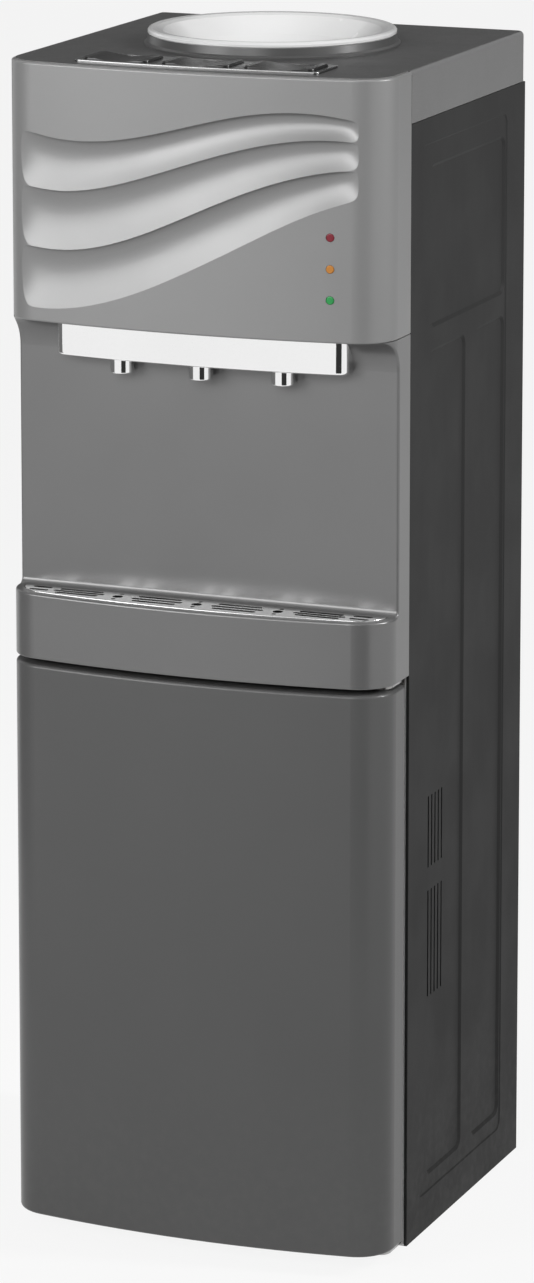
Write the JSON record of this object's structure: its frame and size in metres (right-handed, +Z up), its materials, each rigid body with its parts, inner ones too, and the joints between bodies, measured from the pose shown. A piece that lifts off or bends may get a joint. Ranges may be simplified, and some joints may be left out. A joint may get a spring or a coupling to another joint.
{
  "type": "bottled water dispenser",
  "caption": "Free-standing water cooler: bottle seat on top, push-button taps over a drip tray niche, storage cabinet with hinged door.",
  "frame": {"origin": "on the floor under the middle of the cooler", "axes": "+Z up, the front with the taps faces -Y, +X to the right of someone facing the front"},
  "size_m": [0.34, 0.35, 1.024],
  "materials": {
    "black_plastic": "satin",
    "black_wire": "satin",
    "board": "satin",
    "brass": "plain",
    "bright_trim": "polished",
    "button_cold": "gloss",
    "button_hot": "gloss",
    "button_room": "gloss",
    "copper": "plain",
    "foam": "matte",
    "graphite_plastic": "gloss",
    "lens_amber": "clear",
    "lens_green": "clear",
    "lens_red": "clear",
    "natural_plastic": "satin",
    "painted_steel": "satin",
    "rubber": "matte",
    "silicone": "satin",
    "stainless": "bright",
    "white_plastic": "satin",
    "white_wire": "satin",
    "zinc_steel": "galvanised"
  },
  "bodies": {
    "case": {"back_panel": "zinc_steel", "base_plate": "zinc_steel", "button_bezel": "bright_trim", "button_spring_cold": "stainless", "button_spring_hot": "stainless", "button_spring_room": "stainless", "cabinet_liner": "white_plastic", "cable_gland": "black_plastic", "cold_tank": "stainless", "cold_tank_foam": "foam", "collar_ring": "black_plastic", "compressor": "painted_steel", "compressor_grommets": "rubber", "condenser": "black_wire", "dispensing_panel": "graphite_plastic", "drain_cap": "black_plastic", "drain_fitting": "brass", "evaporator_winding": "copper", "feet": "rubber", "filter_drier": "copper", "hinge_brackets": "zinc_steel", "hot_tank": "stainless", "hot_tank_jacket": "foam", "indicator_board": "board", "lamp_cooling": "lens_amber", "lamp_heating": "lens_red", "lamp_power": "lens_green", "mid_deck": "zinc_steel", "panel_screws": "zinc_steel", "refrigerant_lines": "copper", "side_panel_left": "painted_steel", "side_panel_right": "painted_steel", "switch_plate": "black_plastic", "tank_shelf": "zinc_steel", "tap_body_cold": "natural_plastic", "tap_body_hot": "natural_plastic", "tap_body_room": "natural_plastic", "tap_fascia": "bright_trim", "tap_spouts": "bright_trim", "thermostats": "stainless", "top_cover": "black_plastic", "upper_front_panel": "graphite_plastic", "water_hoses": "silicone", "wire_shelf": "white_wire"},
    "door": {"door_panel": "graphite_plastic", "door_liner": "white_plastic", "door_gasket": "rubber", "door_bushes": "black_plastic"},
    "seat": {"bottle_seat": "white_plastic", "bottle_probe": "white_plastic"},
    "tray": {"drip_tray": "black_plastic"},
    "grille": {"drip_grille": "bright_trim"},
    "rocker_heating": {"rocker_heating": "black_plastic"},
    "rocker_cooling": {"rocker_cooling": "black_plastic"},
    "button_hot": {"button_hot": "button_hot", "push_rod_hot": "natural_plastic"},
    "button_room": {"button_room": "button_room", "push_rod_room": "natural_plastic"},
    "button_cold": {"button_cold": "button_cold", "push_rod_cold": "natural_plastic"}
  },
  "joints": [
    {"name": "door_hinge", "type": "hinge", "parent": "case", "child": "door", "pos_m": [0.158, -0.13, 0.2585], "axis": [0, 0, 1], "range_deg": [0, 110]},
    {"name": "seat_lift", "type": "slide", "parent": "case", "child": "seat", "axis": [0, 0, 1], "range_m": [0, 0.15]},
    {"name": "tray_lift", "type": "slide", "parent": "case", "child": "tray", "axis": [0, 0, 1], "range_m": [0, 0.05]},
    {"name": "grille_lift", "type": "slide", "parent": "tray", "child": "grille", "axis": [0, 0, 1], "range_m": [0, 0.03]},
    {"name": "press_hot", "type": "slide", "parent": "case", "child": "button_hot", "axis": [0, 0, -1], "range_m": [0, 0.0035], "stiffness_N_per_m": 400, "springref_m": -0.004, "deforming": ["button_spring_hot"]},
    {"name": "press_room", "type": "slide", "parent": "case", "child": "button_room", "axis": [0, 0, -1], "range_m": [0, 0.0035], "stiffness_N_per_m": 400, "springref_m": -0.004, "deforming": ["button_spring_room"]},
    {"name": "press_cold", "type": "slide", "parent": "case", "child": "button_cold", "axis": [0, 0, -1], "range_m": [0, 0.0035], "stiffness_N_per_m": 400, "springref_m": -0.004, "deforming": ["button_spring_cold"]},
    {"name": "rock_heating", "type": "hinge", "parent": "case", "child": "rocker_heating", "pos_m": [0.078, 0.1505, 0.915], "axis": [1, 0, 0], "range_deg": [0, 16]},
    {"name": "rock_cooling", "type": "hinge", "parent": "case", "child": "rocker_cooling", "pos_m": [0.112, 0.1505, 0.915], "axis": [1, 0, 0], "range_deg": [0, 16]}
  ]
}
